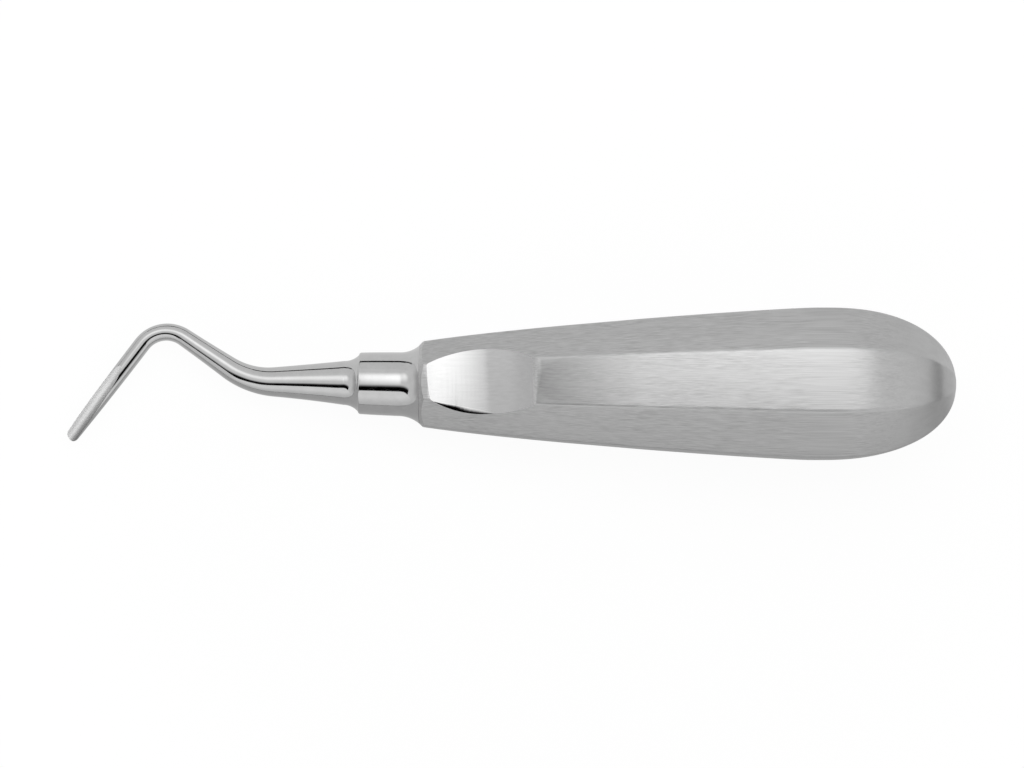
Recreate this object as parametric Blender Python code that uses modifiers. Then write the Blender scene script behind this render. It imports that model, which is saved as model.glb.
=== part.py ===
"""A dental root elevator: hollow octagonal handle, turned neck, bent shank and gouge tip.

The instrument is modelled along its own axis. The handle's axis lies on X with the butt towards +X,
the rim where the handle meets the neck is at x = 0, the thumb rest faces +Z and the shank bends in
the XY plane. An empty then tips the whole instrument onto the flat on which it comes to rest.
"""
import math

import bmesh
import bpy
from mathutils import Euler, Matrix, Vector

MM = 0.001

# Handle: an octagon whose half width across the flats swells from the rim to the belly
rim_half_width = 7.64 * MM
rim_slope = 0.145
rim_pull = 20.0 * MM
belly_half_width = 13.54 * MM
belly_pull = 6.5 * MM
front_length = 70.5 * MM
belly_length = 1.7 * MM
butt_length = 23.58 * MM
butt_fullness = 2.3
edge_round = 0.25 * MM
handle_wall = 1.2 * MM

# Thumb rest: a round hollow ground across the front flat, rolled over into the flat at its back edge
thumb_rest_start = 0.95 * MM
thumb_rest_length = 20.2 * MM
thumb_rest_radius = 26.5 * MM
thumb_rest_roll = 5.6 * MM
thumb_rest_meeting = math.radians(4)
thumb_rest_yaw = math.radians(2.5)
thumb_rest_lean = math.radians(1.7)

# Seat of the working end: a plug of solid metal behind the rim, bored for the tang
seat_setback = 0.75 * MM
plug_length = 8.0 * MM
tang_radius = 3.25 * MM
tang_overhang = 4.0 * MM
fit_gap = 0.3 * MM

# Turned neck: a flare runs down from the rim to the slightly conical collar, then a fillet to the shank
collar_radius = 5.6 * MM
collar_start = 4.35 * MM
collar_length = 7.35 * MM
collar_swell = 0.15 * MM
collar_corner = 0.4 * MM
flare_radius = 5.5 * MM
flare_reach_behind_rim = 0.6 * MM
fillet_radius = 3.6 * MM

# Shank: a neck set at a slight angle, a bend up to the offset run, and a bend down to the blade
shank_root_radius = 3.96 * MM
neck_angle = math.radians(1.3)
sweep_length = 12.45 * MM
sweep_angle = math.radians(0.35)
offset_angle = math.radians(34.1)
offset_bend_radius = 14.95 * MM
offset_length = 9.75 * MM
blade_angle = math.radians(-52.9)
blade_bend_radius = 5.6 * MM
blade_length = 21.6 * MM
blade_root_radius = 1.51 * MM
tip_radius = 1.2 * MM

# Flute: the gouge's hollow, cut by a tube that runs out of the blade in a long arc
flute_radius = 1.8 * MM
flute_height_at_tip = 1.25 * MM
flute_tilt = math.radians(5.4)
flute_turn = math.radians(20.5)
flute_straight = 11.2 * MM
flute_run_out_radius = 23.0 * MM

# Where the instrument balances on the back of its handle, and the flat that it rests on there
balance_station = 32.0 * MM
rest_flat_length = 14.0 * MM

# Fineness of the faceted forms
octagon_sides = 8
nose_steps = 8
belly_steps = 10
butt_steps = 20
turned_sides = 64
thumb_rest_steps = 30
roll_steps = 8
tube_bevel_resolution = 14
flute_bevel_resolution = 14
weld_distance = 0.001 * MM
cutter_margin = 2.0 * MM

widest_station = front_length + belly_length
flat_start = balance_station - rest_flat_length / 2
flat_end = balance_station + rest_flat_length / 2
corner_ratio = math.tan(math.pi / octagon_sides)
collar_end = collar_start + collar_length


def spread(start, end, steps):
    """Evenly spaced values from start to end, both included."""
    return [start + (end - start) * step / steps for step in range(steps + 1)]


def bezier(values, t):
    """A cubic Bezier of plain numbers."""
    a, b, c, d = values
    s = 1 - t
    return a * s**3 + 3 * b * s**2 * t + 3 * c * s * t**2 + d * t**3


def half_width(x):
    """The handle's half width across the flats, from in front of the rim to the belly."""
    if x <= 0:
        return rim_half_width + rim_slope * x
    if x >= front_length:
        return belly_half_width
    stations = (0, rim_pull, front_length - belly_pull, front_length)
    widths = (rim_half_width, rim_half_width + rim_slope * rim_pull, belly_half_width, belly_half_width)
    low = 0.0
    high = 1.0
    while high - low > 1e-9:
        middle = (low + high) / 2
        if bezier(stations, middle) < x:
            low = middle
        else:
            high = middle
    return bezier(widths, low)


def handle_profile(inset, start):
    """Stations and half widths from the butt's pole to start, a wall's thickness inside the surface."""
    points = []
    for angle in spread(math.pi / 2, 0, butt_steps):
        reach = (butt_length - inset) * math.sin(angle) ** (2 / butt_fullness)
        points.append((widest_station + reach, (belly_half_width - inset) * math.cos(angle)))
    points[0] = (points[0][0], 0)
    front = spread(front_length, flat_end, belly_steps)
    front += spread(flat_start, 0, nose_steps)
    points += [(x, half_width(x) - inset) for x in front if x > start]
    points.append((start, half_width(start) - inset))
    points.append((start, 0))
    return points


def flare(distance):
    """The neck's radius on the flare, at a distance in front of the rim (negative behind it)."""
    reach = collar_start - distance
    return collar_radius + collar_swell + flare_radius - math.sqrt(flare_radius**2 - reach**2)


def fillet_length():
    """Length of the fillet from the collar's front edge to where it runs into the shank."""
    drop = collar_radius - collar_corner - shank_root_radius
    return math.sqrt(fillet_radius**2 - (fillet_radius - drop) ** 2)


neck_length = collar_end + fillet_length()
route_pieces = [
    (collar_start, neck_angle),
    (neck_length - collar_start, 0.0),
    (sweep_length, sweep_angle - neck_angle),
    (offset_bend_radius * (offset_angle - sweep_angle), offset_angle - sweep_angle),
    (offset_length, 0.0),
    (blade_bend_radius * (offset_angle - blade_angle), blade_angle - offset_angle),
    (blade_length, 0.0),
]
route_length = sum(length for length, turn in route_pieces)
blade_root = route_length - blade_length
nose_centre = route_length - tip_radius


def route_point(distance):
    """The point on the shank's route at a distance in front of the rim, and its heading from -X to +Y."""
    point = Vector((0, 0, 0))
    heading = 0.0
    left = distance
    for length, turn in route_pieces:
        part = min(left, length)
        bend = turn * part / length
        chord = part if bend == 0 else 2 * part / bend * math.sin(bend / 2)
        middle = heading + bend / 2
        point += Vector((-math.cos(middle), math.sin(middle), 0)) * chord
        heading += bend
        left -= part
        if left <= 0:
            break
    return point, heading


def route_radius(distance):
    """The radius of neck, shank and blade at a distance in front of the rim."""
    if distance <= collar_start:
        return flare(distance)
    if distance <= collar_end - collar_corner:
        share = (collar_end - collar_corner - distance) / (collar_length - collar_corner)
        return collar_radius + collar_swell * share
    if distance <= collar_end:
        rise = distance - (collar_end - collar_corner)
        return collar_radius - collar_corner + math.sqrt(max(collar_corner**2 - rise**2, 0))
    if distance <= neck_length:
        reach = neck_length - distance
        return shank_root_radius + fillet_radius - math.sqrt(fillet_radius**2 - reach**2)
    if distance <= blade_root:
        share = (blade_root - distance) / (blade_root - neck_length)
        return blade_root_radius + (shank_root_radius - blade_root_radius) * share**2
    share = min((distance - blade_root) / (nose_centre - blade_root), 1)
    taper = tip_radius + (blade_root_radius - tip_radius) * (1 - share**2)
    past_nose = max(distance - nose_centre, 0)
    return taper if past_nose == 0 else math.sqrt(max(tip_radius**2 - past_nose**2, 0))


def route_stations():
    """Distances along the route at which the tube gets a ring."""
    stations = spread(seat_setback + fit_gap, collar_start, 8)
    stations += [collar_end - collar_corner * (1 - math.sin(angle)) for angle in spread(0, math.pi / 2, 4)]
    stations += spread(collar_end, neck_length, 7)
    start = neck_length
    for (length, turn), steps in zip(route_pieces[2:], (6, 10, 4, 14, 12)):
        end = min(start + length, nose_centre)
        stations += spread(start, end, steps)
        start = end
    stations += [nose_centre + tip_radius * math.sin(angle) for angle in spread(0, math.radians(84), 7)]
    unique = []
    for station in sorted(stations):
        if not unique or station - unique[-1] > weld_distance:
            unique.append(station)
    return unique


def clear_scene():
    for old in list(bpy.data.objects):
        bpy.data.objects.remove(old, do_unlink=True)


def collection(name):
    made = bpy.data.collections.new(name)
    bpy.context.scene.collection.children.link(made)
    return made


def steel(name, colour, roughness):
    """A stainless steel finish."""
    material = bpy.data.materials.new(name)
    material.use_nodes = True
    shader = material.node_tree.nodes["Principled BSDF"]
    shader.inputs["Base Color"].default_value = (*colour, 1)
    shader.inputs["Metallic"].default_value = 1.0
    shader.inputs["Roughness"].default_value = roughness
    return material


def add_object(name, data, group):
    """A new object that stands in the instrument's own frame."""
    made = bpy.data.objects.new(name, data)
    group.objects.link(made)
    made.parent = rest_frame
    return made


def as_cutter(tool):
    tool.hide_render = True
    tool.display_type = "WIRE"
    return tool


def turned(name, profile, sides, group):
    """A profile of (station, radius) points, from the butt's side forwards, swept round the X axis."""
    mesh = bpy.data.meshes.new(name)
    points = [(radius, 0, x) for x, radius in profile]
    return swept(name, mesh, points, sides, group, smooth=True)


def octagonal(name, profile, group):
    """A profile of (station, half width) points swept to an octagon with flats to the front and back."""
    mesh = bpy.data.meshes.new(name)
    points = [(width, width * corner_ratio, x) for x, width in profile]
    return swept(name, mesh, points, octagon_sides, group, smooth=False)


def swept(name, mesh, points, sides, group, smooth):
    """A Screw of the points round the mesh's Z axis, laid along the instrument's X axis."""
    edges = [(index, index + 1) for index in range(len(points) - 1)]
    mesh.from_pydata(points, edges, [])
    made = add_object(name, mesh, group)
    made.rotation_euler = Euler((0, math.pi / 2, 0))
    screw = made.modifiers.new("Screw", "SCREW")
    screw.axis = "Z"
    screw.angle = 2 * math.pi
    screw.steps = sides
    screw.render_steps = sides
    screw.use_smooth_shade = smooth
    screw.use_merge_vertices = True
    screw.merge_threshold = weld_distance
    return made


def mesh_from_curve(name, curve, group):
    """The curve's form as a closed mesh: its end caps or sides are welded on and the curve is removed."""
    guide = bpy.data.objects.new(name, curve)
    group.objects.link(guide)
    graph = bpy.context.evaluated_depsgraph_get()
    mesh = bpy.data.meshes.new_from_object(guide.evaluated_get(graph))
    matrix = guide.matrix_world.copy()
    bpy.data.objects.remove(guide)
    bpy.data.curves.remove(curve)
    weld = bmesh.new()
    weld.from_mesh(mesh)
    bmesh.ops.remove_doubles(weld, verts=weld.verts, dist=weld_distance)
    weld.to_mesh(mesh)
    weld.free()
    mesh.shade_smooth()
    mesh.set_sharp_from_angle(angle=math.radians(30))
    made = add_object(name, mesh, group)
    made.matrix_basis = matrix
    return made


def poly_spline(curve, points):
    spline = curve.splines.new("POLY")
    spline.points.add(len(points) - 1)
    for control, point in zip(spline.points, points):
        control.co = (*point, 1)
    return spline


def tube(name, points, radii, resolution, group):
    """A round tube through the points, with a radius in metres at each."""
    curve = bpy.data.curves.new(name, "CURVE")
    curve.dimensions = "3D"
    curve.bevel_depth = 1.0
    curve.bevel_resolution = resolution
    curve.use_fill_caps = True
    spline = poly_spline(curve, points)
    for control, radius in zip(spline.points, radii):
        control.radius = radius
    return mesh_from_curve(name, curve, group)


def prism(name, outline, width, group):
    """A flat outline with a thickness, centred on its own plane."""
    curve = bpy.data.curves.new(name, "CURVE")
    curve.dimensions = "2D"
    curve.fill_mode = "BOTH"
    curve.extrude = width / 2
    spline = poly_spline(curve, [(x, z, 0) for x, z in outline])
    spline.use_cyclic_u = True
    return mesh_from_curve(name, curve, group)


def cylinder(name, radius, length, centre, rotation, sides, group):
    """A round cutter or pin, closed at both ends, in the instrument's own frame."""
    mesh = bpy.data.meshes.new(name)
    form = bmesh.new()
    bmesh.ops.create_cone(
        form, cap_ends=True, segments=sides, radius1=radius, radius2=radius, depth=length,
    )
    form.to_mesh(mesh)
    form.free()
    made = add_object(name, mesh, group)
    made.location = centre
    made.rotation_euler = rotation
    return made


def combine(target, tool, operation):
    boolean = target.modifiers.new(tool.name, "BOOLEAN")
    boolean.operation = operation
    boolean.solver = "EXACT"
    boolean.object = tool


def thumb_rest_outline(wall):
    """The hollow seen from the side, as x and z from the handle's axis, a wall's thickness deeper.

    The hollow's arc starts on the flat at the thumb rest's front edge. It runs into a small arc that
    rolls over and leaves the metal at the back edge, where it still rises a little over the flat.
    """
    end = thumb_rest_start + thumb_rest_length
    flat_slope = (half_width(end + MM) - half_width(end - MM)) / (2 * MM)
    leaving = math.atan(flat_slope) + thumb_rest_meeting
    front = Vector((thumb_rest_start, half_width(thumb_rest_start)))
    back = Vector((end, half_width(end)))
    roll_centre = back - thumb_rest_roll * Vector((-math.sin(leaving), math.cos(leaving)))
    span = roll_centre - front
    reach = thumb_rest_radius + thumb_rest_roll
    along = (thumb_rest_radius**2 - reach**2 + span.length_squared) / (2 * span.length)
    across = math.sqrt(thumb_rest_radius**2 - along**2)
    ahead = span.normalized()
    centre = front + ahead * along + Vector((-ahead.y, ahead.x)) * across
    joining = math.atan2(roll_centre.x - centre.x, centre.y - roll_centre.y)
    entering = math.asin((front.x - centre.x) / thumb_rest_radius)
    overrun = cutter_margin / thumb_rest_radius
    outline = []
    for angle in spread(entering - overrun, joining, thumb_rest_steps):
        down = Vector((math.sin(angle), -math.cos(angle)))
        outline.append(centre + (thumb_rest_radius + wall) * down)
    for angle in spread(joining, leaving, roll_steps)[1:]:
        up = Vector((-math.sin(angle), math.cos(angle)))
        outline.append(roll_centre + (thumb_rest_roll - wall) * up)
    outline.append(outline[-1] + cutter_margin * Vector((math.cos(leaving), math.sin(leaving))))
    top = 2 * belly_half_width
    outline.append(Vector((outline[-1].x, top)))
    outline.append(Vector((outline[0].x, top)))
    return outline


def thumb_rest_cutter(name, wall):
    """The form that hollows the thumb rest, or a wall deeper, the form that keeps the cavity clear of it."""
    middle = thumb_rest_start + thumb_rest_length / 2
    outline = [(point.x - middle, point.y) for point in thumb_rest_outline(wall)]
    cutter = prism(name, outline, 4 * belly_half_width, cutters)
    cutter.location = (middle, 0, 0)
    cutter.rotation_euler = Euler((math.pi / 2 - thumb_rest_lean, 0, thumb_rest_yaw))
    return as_cutter(cutter)


def nose_envelope():
    """The round form to which the handle's nose is turned, so that the flare scallops its corners."""
    lip = flare_reach_behind_rim
    outside = 2 * belly_half_width
    back = widest_station + butt_length + cutter_margin
    profile = [(back, 0), (back, outside), (lip, outside)]
    profile += [(x, flare(-x)) for x in spread(lip, -seat_setback, 7)]
    profile.append((-seat_setback, 0))
    return as_cutter(turned("nose_envelope", profile, turned_sides, cutters))


def make_handle():
    handle = octagonal("handle", handle_profile(0, -cutter_margin), parts)
    handle.data.materials.append(steel("satin_stainless_steel", (0.58, 0.58, 0.57), 0.34))
    bevel = handle.modifiers.new("Edges", "BEVEL")
    bevel.width = edge_round
    bevel.segments = 2
    bevel.limit_method = "ANGLE"
    bevel.angle_limit = math.radians(24)
    combine(handle, nose_envelope(), "INTERSECT")
    combine(handle, thumb_rest_cutter("thumb_rest_cutter", 0), "DIFFERENCE")
    cavity = as_cutter(octagonal("cavity", handle_profile(handle_wall, plug_length), cutters))
    combine(cavity, thumb_rest_cutter("thumb_rest_wall", handle_wall), "DIFFERENCE")
    combine(handle, cavity, "DIFFERENCE")
    bore_end = plug_length + cutter_margin
    bore_start = -seat_setback - cutter_margin
    centre = Vector(((bore_start + bore_end) / 2, 0, 0))
    along = Euler((0, math.pi / 2, 0))
    bore_radius = tang_radius + fit_gap
    bore = cylinder("bore", bore_radius, bore_end - bore_start, centre, along, turned_sides, cutters)
    combine(handle, as_cutter(bore), "DIFFERENCE")
    return handle


def flute_cutter():
    """The tube that hollows the gouge: straight along the blade, then out of it in an arc."""
    tip, heading = route_point(route_length)
    up_blade = Vector((math.cos(heading), -math.sin(heading), 0))
    side = Vector((-math.sin(heading), -math.cos(heading), 0))
    facing = Vector((0, 0, 1)) * math.cos(flute_turn) - side * math.sin(flute_turn)
    needed = flute_radius + blade_root_radius + fit_gap
    needed -= flute_height_at_tip + flute_straight * math.tan(flute_tilt)
    end_tilt = math.acos(math.cos(flute_tilt) - needed / flute_run_out_radius)
    legs = [-cutter_margin, flute_straight]
    heights = [flute_height_at_tip + leg * math.tan(flute_tilt) for leg in legs]
    for tilt in spread(flute_tilt, end_tilt, 10)[1:]:
        legs.append(flute_straight + flute_run_out_radius * (math.sin(tilt) - math.sin(flute_tilt)))
        heights.append(heights[1] + flute_run_out_radius * (math.cos(flute_tilt) - math.cos(tilt)))
    points = [tip + up_blade * leg + facing * height for leg, height in zip(legs, heights)]
    radii = [flute_radius] * len(points)
    return as_cutter(tube("flute_cutter", points, radii, flute_bevel_resolution, cutters))


def make_working_end():
    stations = route_stations()
    points = [route_point(station)[0] for station in stations]
    radii = [route_radius(station) for station in stations]
    working_end = tube("working_end", points, radii, tube_bevel_resolution, parts)
    working_end.data.materials.append(steel("polished_stainless_steel", (0.62, 0.62, 0.61), 0.12))
    tang_start = -collar_start
    tang_end = plug_length + tang_overhang
    centre = Vector(((tang_start + tang_end) / 2, 0, 0))
    along = Euler((0, math.pi / 2, 0))
    tang = cylinder("tang", tang_radius, tang_end - tang_start, centre, along, turned_sides // 2, cutters)
    combine(working_end, as_cutter(tang), "UNION")
    combine(working_end, flute_cutter(), "DIFFERENCE")
    return working_end


def stand_on_rest_flat():
    """Tip the frame so that the back flat at the balance station lies on z = 0, centred on the origin."""
    rise = half_width(flat_end) - half_width(flat_start)
    tilt = math.atan2(rise, rest_flat_length)
    depth = (half_width(flat_start) + half_width(flat_end)) / 2
    turn = Matrix.Rotation(-tilt, 4, "Y")
    rest_frame.rotation_euler = turn.to_euler()
    rest_frame.location = -(turn @ Vector((balance_station, 0, -depth)))


clear_scene()
parts = collection("root_elevator")
cutters = collection("cutters")
rest_frame = bpy.data.objects.new("rest_frame", None)
parts.objects.link(rest_frame)
stand_on_rest_flat()
make_handle()
make_working_end()
bpy.context.view_layer.update()
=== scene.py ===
# %% [markdown]
# # A dental root elevator: shapes and finishes
# The instrument has two pieces of stainless steel. The handle is a hollow octagonal pear, brushed to a
# satin, and the working end is a forging polished to a mirror. Both are joined for good, and nothing moves.
# The CAD model gives their solids with few faces, and this script gives the same forms their fine surfaces.

# %% Load the CAD model
import math

import bmesh
import bpy
from mathutils import Matrix, Vector


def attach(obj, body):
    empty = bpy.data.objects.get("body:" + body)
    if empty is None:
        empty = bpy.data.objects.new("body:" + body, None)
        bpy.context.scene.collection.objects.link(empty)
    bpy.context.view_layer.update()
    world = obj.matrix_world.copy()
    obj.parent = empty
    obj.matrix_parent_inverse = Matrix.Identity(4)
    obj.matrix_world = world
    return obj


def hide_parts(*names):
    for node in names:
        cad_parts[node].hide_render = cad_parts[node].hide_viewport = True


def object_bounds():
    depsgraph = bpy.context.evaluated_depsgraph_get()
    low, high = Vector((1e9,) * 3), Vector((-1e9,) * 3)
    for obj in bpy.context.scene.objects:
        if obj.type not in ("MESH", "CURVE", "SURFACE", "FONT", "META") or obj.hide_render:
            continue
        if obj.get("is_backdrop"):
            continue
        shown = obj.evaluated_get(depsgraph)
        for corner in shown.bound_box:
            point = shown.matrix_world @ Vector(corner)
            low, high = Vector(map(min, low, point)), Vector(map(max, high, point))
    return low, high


MM = 0.001


def in_mm(values):
    """Metres as rounded millimetres, for printing."""
    return [round(value / MM, 2) for value in values]


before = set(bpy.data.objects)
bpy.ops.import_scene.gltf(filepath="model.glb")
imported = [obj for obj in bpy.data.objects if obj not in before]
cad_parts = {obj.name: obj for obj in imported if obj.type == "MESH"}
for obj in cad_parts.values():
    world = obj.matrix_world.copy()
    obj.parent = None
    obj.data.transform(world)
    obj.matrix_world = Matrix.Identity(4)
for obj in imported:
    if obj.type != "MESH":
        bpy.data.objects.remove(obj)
cad_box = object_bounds()
print("CAD box in mm:", [in_mm(corner) for corner in cad_box])

# %% [markdown]
# ## A tube grown ring by ring
# Every form here is a section that changes along a line: an octagon for the handle, a circle for the neck
# and the shank. A lathe or a smith works the same way, from one end to the other. A Screw modifier could
# turn the straight parts, but not the bent shank. So one way is used for both: a filled circle is added,
# and its face is extruded to the next station, turned there and resized there, again and again. All measures
# are those of the CAD model in metres, with the handle's axis on X, the butt towards +X, and the rim at 0.

# %% Helpers: even steps and one selected piece
def spread(start, end, steps):
    """Evenly spaced values from start to end, both included."""
    return [start + (end - start) * step / steps for step in range(steps + 1)]


def select_only(piece):
    """Selects this piece alone, because an operator acts on all that is selected."""
    bpy.ops.object.select_all(action="DESELECT")
    piece.select_set(True)
    bpy.context.view_layer.objects.active = piece


def put(piece, matrix):
    """Moves and turns the piece as the matrix says, and writes that into its mesh."""
    select_only(piece)
    piece.matrix_world = matrix
    bpy.ops.object.transform_apply(location=True, rotation=True, scale=True)


# %% Helpers: a ring that grows
def first_ring(name, sides, radius, place):
    """A filled circle across the instrument's axis, left open in edit mode with its face selected."""
    bpy.ops.object.select_all(action="DESELECT")
    bpy.ops.mesh.primitive_circle_add(
        vertices=sides, radius=radius, fill_type="NGON", location=place, rotation=(0, math.pi / 2, 0),
    )
    bpy.ops.object.transform_apply(location=True, rotation=True, scale=True)
    ring = bpy.context.object
    ring.name = name
    bpy.ops.object.mode_set(mode="EDIT")
    bpy.ops.mesh.select_all(action="SELECT")
    return ring


def grow(stations):
    """Extrudes the selected face from station to station.

    A station is a place, a heading and a radius. The first is where the face is now. The heading turns
    from -X towards +Y, and with no window transform.rotate turns clockwise for a positive value.
    """
    for (place, heading, radius), (next_place, next_heading, next_radius) in zip(stations, stations[1:]):
        step = next_place - place
        bpy.ops.mesh.extrude_region_move(TRANSFORM_OT_translate={"value": step})
        if next_heading != heading:
            turn = next_heading - heading
            bpy.ops.transform.rotate(value=turn, orient_axis="Z", center_override=next_place)
        ratio = next_radius / radius
        if ratio != 1:
            bpy.ops.transform.resize(value=(ratio, ratio, ratio), center_override=next_place)


def straight_stations(profile):
    """Stations on the axis from (x, radius) points."""
    return [(Vector((x, 0, 0)), 0.0, radius) for x, radius in profile]


def finish_ring_by_ring():
    """Leaves edit mode with the faces pointing outwards."""
    bpy.ops.mesh.select_all(action="SELECT")
    bpy.ops.mesh.normals_make_consistent(inside=False)
    bpy.ops.object.mode_set(mode="OBJECT")


# %% Helper: cut one form with another
def combine(target, tool, operation):
    """Applies a Boolean of the tool to the target, hands on the tool's material, and removes the tool."""
    select_only(target)
    boolean = target.modifiers.new(operation.title(), "BOOLEAN")
    boolean.operation = operation
    boolean.solver = "EXACT"
    boolean.material_mode = "TRANSFER"
    boolean.object = tool
    bpy.ops.object.modifier_apply(modifier=boolean.name)
    print(f"{target.name} after {operation} with {tool.name}: {len(target.data.polygons)} faces")
    bpy.data.objects.remove(tool)


# %% [markdown]
# ## Colours and nodes
# Colours are written as a painting program shows them, in sRGB, but a shader adds up light and needs linear
# values. One function turns them. Another adds a node and fills or links its sockets in one line.

# %% Helpers: linear colour, one node, and a steel
def linear(hex_colour):
    """The linear red, green, blue and alpha of an sRGB hex colour."""
    shown = [int(hex_colour[start:start + 2], 16) / 255 for start in (1, 3, 5)]
    return [part / 12.92 if part <= 0.04045 else ((part + 0.055) / 1.055) ** 2.4 for part in shown] + [1]


def add_node(tree, kind, sockets=(), **settings):
    """Adds a node with its settings, and sets or links its sockets, given in order or by name or number.

    A node that is given as a value is linked by the first of its outputs that is in use.
    """
    node = tree.nodes.new(kind)
    for name, value in settings.items():
        setattr(node, name, value)
    for name, value in sockets.items() if isinstance(sockets, dict) else enumerate(sockets):
        if isinstance(value, bpy.types.Node):
            value = next(output for output in value.outputs if output.enabled)
        if isinstance(value, bpy.types.NodeSocket):
            tree.links.new(value, node.inputs[name])
        else:
            node.inputs[name].default_value = value
    return node


def steel(name, make_sockets):
    """A steel with the default IOR. make_sockets adds its nodes and returns what goes into which socket."""
    material = bpy.data.materials.new(name)
    material.use_nodes = True
    tree = material.node_tree
    tree.nodes.clear()
    shader = add_node(tree, "ShaderNodeBsdfPrincipled", {"Metallic": 1.0, **make_sockets(tree)})
    add_node(tree, "ShaderNodeOutputMaterial", {"Surface": shader})
    print(f"{name}: {len(tree.nodes)} nodes")
    return material


# %% [markdown]
# ## Where the instrument lies
# It lies on the flat on the back of its handle, under its centre of mass, so its axis rises towards the butt.
# The forms are modelled level and are tipped at the end, and the brushing must be tipped with them. The
# outline of the handle could be a list of measured points, but a hand-ground flat runs in one smooth sweep,
# so its half width follows one Bezier curve from the rim to the belly.

# %% The handle's half width
rim_half_width = 7.64 * MM
rim_slope = 0.145
rim_pull = 20.0 * MM
belly_half_width = 13.54 * MM
belly_pull = 6.5 * MM
front_length = 70.5 * MM


def bezier(values, t):
    """A cubic Bezier of plain numbers."""
    a, b, c, d = values
    s = 1 - t
    return a * s**3 + 3 * b * s**2 * t + 3 * c * s * t**2 + d * t**3


def half_width(x):
    """The handle's half width across the flats, from in front of the rim to the belly."""
    if x <= 0:
        return rim_half_width + rim_slope * x
    if x >= front_length:
        return belly_half_width
    stations = (0, rim_pull, front_length - belly_pull, front_length)
    widths = (rim_half_width, rim_half_width + rim_slope * rim_pull, belly_half_width, belly_half_width)
    low, high = 0.0, 1.0
    while high - low > 1e-9:
        middle = (low + high) / 2
        if bezier(stations, middle) < x:
            low = middle
        else:
            high = middle
    return bezier(widths, low)


print("Half width in mm at 0, 20, 40, 60 mm:", in_mm(half_width(x * MM) for x in (0, 20, 40, 60)))

# %% How far it is tipped
balance_station = 32.0 * MM
rest_flat_length = 14.0 * MM
flat_start = balance_station - rest_flat_length / 2
flat_end = balance_station + rest_flat_length / 2

tilt = math.atan2(half_width(flat_end) - half_width(flat_start), rest_flat_length)
axis_height = (half_width(flat_start) + half_width(flat_end)) / 2
tip_over = Matrix.Rotation(-tilt, 4, "Y")
place_on_table = Matrix.Translation(-(tip_over @ Vector((balance_station, 0, -axis_height)))) @ tip_over
print(f"The axis is tipped by {math.degrees(tilt):.2f} degrees")

# %% [markdown]
# ## Finish 1: stainless steel brushed to a satin
# The handle is drawn over a fine belt along its length. What the eye gets is a soft grey sheen that is wide
# across the grain and clearer along it, with thousands of hairlines and a few scratches that catch the
# light. A flat grey with a high roughness would blur alike all round and look like cast aluminium. So the
# shader's own Anisotropic widens the highlight across the grain, and three noises are drawn out along it:
# hairlines, broader streaks and sparse scratches. They change the colour, the roughness and the height of
# the surface a little. Real hairlines are 0.02 to 0.05 mm apart, too fine for the picture, so they are drawn
# 0.18 mm apart. On the butt the belt meets the steel from all sides, and there they fade.
# The front flat is painted a little darker just behind the thumb rest, a painted shade where it
# mirrors less light.

# %% Grain along the handle
most_values = (0.3, 0.7)  # nearly all values of a noise lie between these
middle_values = (0.35, 0.65)
rare_values = (0.70, 0.82)


def grain(tree, length, spacing, detail=2.0, seed=0.0):
    """Noise stretched along the instrument: each streak is about this long and this far from the next."""
    place = add_node(tree, "ShaderNodeTexCoord")
    mapping = add_node(
        tree, "ShaderNodeMapping",
        {"Vector": place.outputs["Object"], "Location": (seed, seed, seed), "Rotation": (0, -tilt, 0),
         "Scale": (length, spacing, spacing)},
        vector_type="TEXTURE",
    )
    return add_node(
        tree, "ShaderNodeTexNoise",
        {"Vector": mapping, "Scale": 1.0, "Detail": detail, "Roughness": 0.55},
    )


# %% Where the brushing fades, and where shade is painted on the front flat
butt_from, butt_to = 44 * MM, 56 * MM
painted_shade_from, painted_shade_to = -12 * MM, 7 * MM
painted_shade_depth_from, painted_shade_depth_to = 0.03 * MM, 0.18 * MM


def along_the_handle(tree):
    """The X, Y and Z of a point in the level instrument's directions, from the rest flat's middle."""
    place = add_node(tree, "ShaderNodeTexCoord")
    level_place = add_node(
        tree, "ShaderNodeMapping", {"Vector": place.outputs["Object"], "Rotation": (0, -tilt, 0)},
        vector_type="TEXTURE",
    )
    return add_node(tree, "ShaderNodeSeparateXYZ", [level_place]).outputs


def painted_shade_on_flat(tree, x, z):
    """A painted shade: grey on the front flat behind the thumb rest, and white everywhere else."""
    front_flat = add_node(
        tree, "ShaderNodeMath", [x, math.tan(tilt), 2 * axis_height], operation="MULTIPLY_ADD",
    )
    below_flat = add_node(tree, "ShaderNodeMath", [front_flat, z], operation="SUBTRACT")
    off_flat = add_node(tree, "ShaderNodeMapRange", [below_flat, painted_shade_depth_from, painted_shade_depth_to, 0, 1])
    behind_painted_shade = add_node(tree, "ShaderNodeMapRange", [x, painted_shade_from, painted_shade_to, 0, 1])
    clear = add_node(tree, "ShaderNodeMath", [off_flat, behind_painted_shade], operation="MAXIMUM")
    # The grey is painted shade on the front flat, and clear is where none is painted.
    return add_node(
        tree, "ShaderNodeMix", {0: clear, 6: linear("#C2C2C2"), 7: linear("#FFFFFF")}, data_type="RGBA",
    )


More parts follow.
